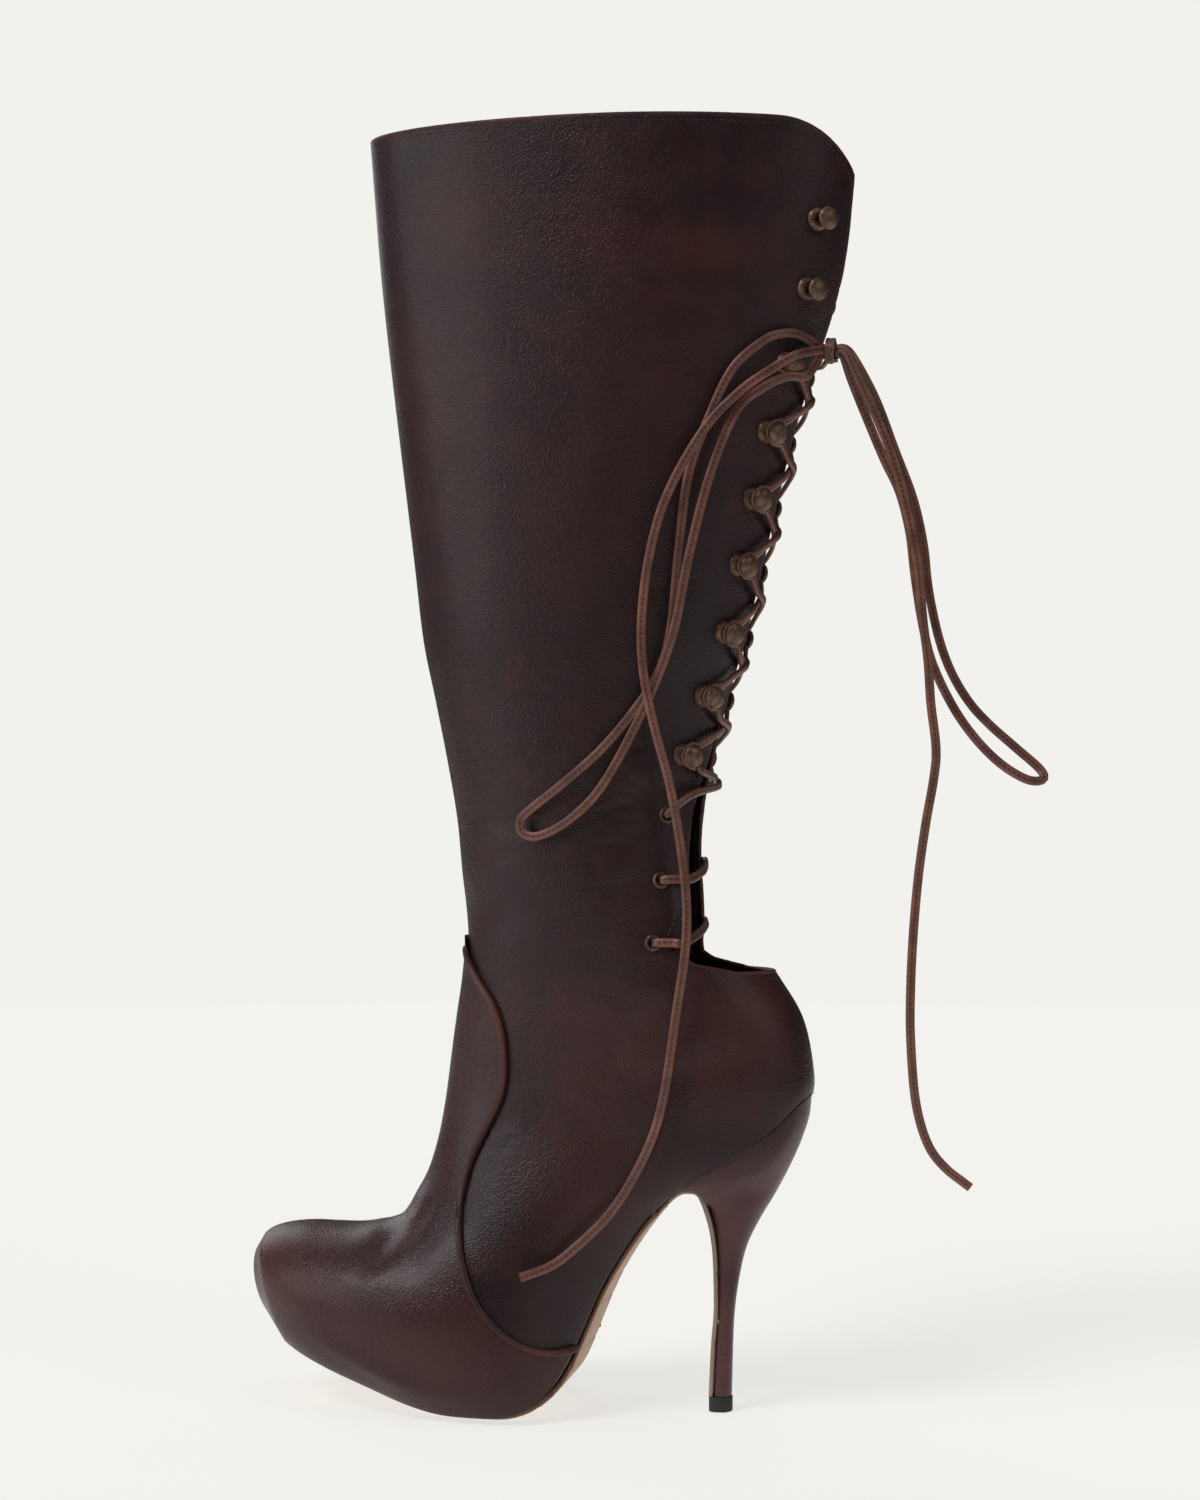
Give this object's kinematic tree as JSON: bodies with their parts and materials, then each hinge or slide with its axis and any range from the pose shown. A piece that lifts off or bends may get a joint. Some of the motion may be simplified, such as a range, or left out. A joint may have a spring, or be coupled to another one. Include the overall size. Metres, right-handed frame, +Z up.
{
  "type": "corset-back boot",
  "caption": "Tall left knee boot on a covered stiletto heel and hidden platform, laced up the back of the leg over hooks and eyelets, with a thin lace tied in a bow.",
  "frame": {"origin": "on the floor, under the middle of the boot's box without the bow", "axes": "+Z up the leg, toe to -X and heel to +X, the outer side of this left boot to -Y and its inner side to +Y"},
  "size_m": [0.32, 0.0972, 0.5122],
  "materials": {
    "leg_leather": "burnished, soft sheen",
    "vamp_leather": "burnished, polished over the toe",
    "binding_leather": "rolled edge",
    "footbed_leather": "matt",
    "sole_leather": "smooth, matt",
    "heel_leather": "smooth, satin",
    "tip_rubber": "matt",
    "antique_brass": "antiqued, worn",
    "lace_leather": "flat band, stitched"
  },
  "bodies": {
    "root": {"upper": "leg_leather", "vamp": "vamp_leather", "vamp_binding": "binding_leather", "insole": "footbed_leather", "outsole": "sole_leather", "heel": "heel_leather", "heel_tip": "tip_rubber", "hook_outer_1": "antique_brass", "hook_outer_2": "antique_brass", "hook_outer_3": "antique_brass", "hook_outer_4": "antique_brass", "hook_outer_5": "antique_brass", "hook_outer_6": "antique_brass", "hook_outer_7": "antique_brass", "hook_outer_8": "antique_brass", "hook_outer_9": "antique_brass", "hook_inner_1": "antique_brass", "hook_inner_2": "antique_brass", "hook_inner_3": "antique_brass", "hook_inner_4": "antique_brass", "hook_inner_5": "antique_brass", "hook_inner_6": "antique_brass", "hook_inner_7": "antique_brass", "hook_inner_8": "antique_brass", "hook_inner_9": "antique_brass", "eyelet_outer_1": "antique_brass", "eyelet_outer_2": "antique_brass", "eyelet_outer_3": "antique_brass", "eyelet_inner_1": "antique_brass", "eyelet_inner_2": "antique_brass", "eyelet_inner_3": "antique_brass", "lacing": "lace_leather", "lace_bar_1": "lace_leather", "lace_bar_2": "lace_leather", "bow_knot": "lace_leather", "bow_loop_left": "lace_leather", "bow_loop_right": "lace_leather", "lace_end_left": "lace_leather", "lace_end_right": "lace_leather"}
  },
  "joints": []
}
